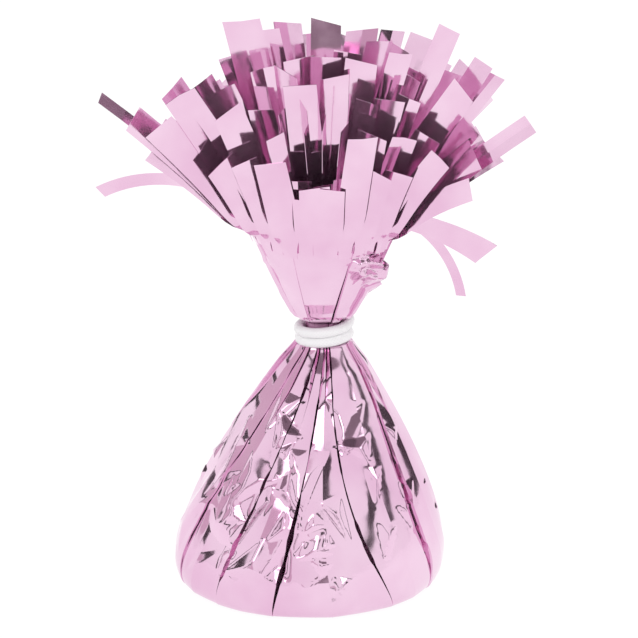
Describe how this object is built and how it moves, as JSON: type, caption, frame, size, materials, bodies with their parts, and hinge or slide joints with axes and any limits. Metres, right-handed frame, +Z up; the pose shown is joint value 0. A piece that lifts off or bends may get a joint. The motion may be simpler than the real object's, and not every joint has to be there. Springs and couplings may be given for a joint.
{
  "type": "balloon weight",
  "caption": "Foil-wrapped balloon weight: a heavy core in a pleated cone of metallised film, tied at the neck, with a slit fringe above it. Holds down balloons.",
  "frame": {"origin": "middle of the flat foot, on the surface that the weight stands on", "axes": "+Z up through the neck to the fringe, -Y towards the pictured front, +X to its right"},
  "size_m": [0.1069, 0.0819, 0.145],
  "materials": {
    "foil": "mirror-bright metallised film",
    "tie": "soft white elastic",
    "core": "cast cement"
  },
  "bodies": {
    "wrapped_weight": {"weight_core": "core", "foil_skirt": "foil", "neck_gather": "foil", "neck_tie": "tie", "collar_outer_folds": "foil", "collar_inner_folds": "foil"},
    "tuft_right": {"outer_fringe_right": "foil", "inner_fringe_right": "foil", "loose_strip_right_wide": "foil", "loose_strip_right_hanging": "foil"},
    "tuft_back_right": {"outer_fringe_back_right": "foil", "inner_fringe_back_right": "foil"},
    "tuft_back": {"outer_fringe_back": "foil", "inner_fringe_back": "foil"},
    "tuft_back_left": {"outer_fringe_back_left": "foil", "inner_fringe_back_left": "foil"},
    "tuft_left": {"outer_fringe_left": "foil", "inner_fringe_left": "foil", "loose_strip_left": "foil"},
    "tuft_front_left": {"outer_fringe_front_left": "foil", "inner_fringe_front_left": "foil"},
    "tuft_front": {"outer_fringe_front": "foil", "inner_fringe_front": "foil"},
    "tuft_front_right": {"outer_fringe_front_right": "foil", "inner_fringe_front_right": "foil"}
  },
  "joints": [
    {"name": "tuft_right_bend", "type": "hinge", "parent": "wrapped_weight", "child": "tuft_right", "pos_m": [0.0228, 0, 0.0915], "axis": [0, 1, 0], "range_deg": [0, 35], "stiffness_Nm_per_rad": 0.01},
    {"name": "tuft_back_right_bend", "type": "hinge", "parent": "wrapped_weight", "child": "tuft_back_right", "pos_m": [0.01729, 0.01329, 0.0915], "axis": [-0.7071, 0.7071, 0], "range_deg": [0, 35], "stiffness_Nm_per_rad": 0.01},
    {"name": "tuft_back_bend", "type": "hinge", "parent": "wrapped_weight", "child": "tuft_back", "pos_m": [0.004, 0.0188, 0.0915], "axis": [-1, 0, 0], "range_deg": [0, 35], "stiffness_Nm_per_rad": 0.01},
    {"name": "tuft_back_left_bend", "type": "hinge", "parent": "wrapped_weight", "child": "tuft_back_left", "pos_m": [-0.00929, 0.01329, 0.0915], "axis": [-0.7071, -0.7071, 0], "range_deg": [0, 35], "stiffness_Nm_per_rad": 0.01},
    {"name": "tuft_left_bend", "type": "hinge", "parent": "wrapped_weight", "child": "tuft_left", "pos_m": [-0.0148, 0, 0.0915], "axis": [0, -1, 0], "range_deg": [0, 35], "stiffness_Nm_per_rad": 0.01},
    {"name": "tuft_front_left_bend", "type": "hinge", "parent": "wrapped_weight", "child": "tuft_front_left", "pos_m": [-0.00929, -0.01329, 0.0915], "axis": [0.7071, -0.7071, 0], "range_deg": [0, 35], "stiffness_Nm_per_rad": 0.01},
    {"name": "tuft_front_bend", "type": "hinge", "parent": "wrapped_weight", "child": "tuft_front", "pos_m": [0.004, -0.0188, 0.0915], "axis": [1, 0, 0], "range_deg": [0, 35], "stiffness_Nm_per_rad": 0.01},
    {"name": "tuft_front_right_bend", "type": "hinge", "parent": "wrapped_weight", "child": "tuft_front_right", "pos_m": [0.01729, -0.01329, 0.0915], "axis": [0.7071, 0.7071, 0], "range_deg": [0, 35], "stiffness_Nm_per_rad": 0.01}
  ]
}
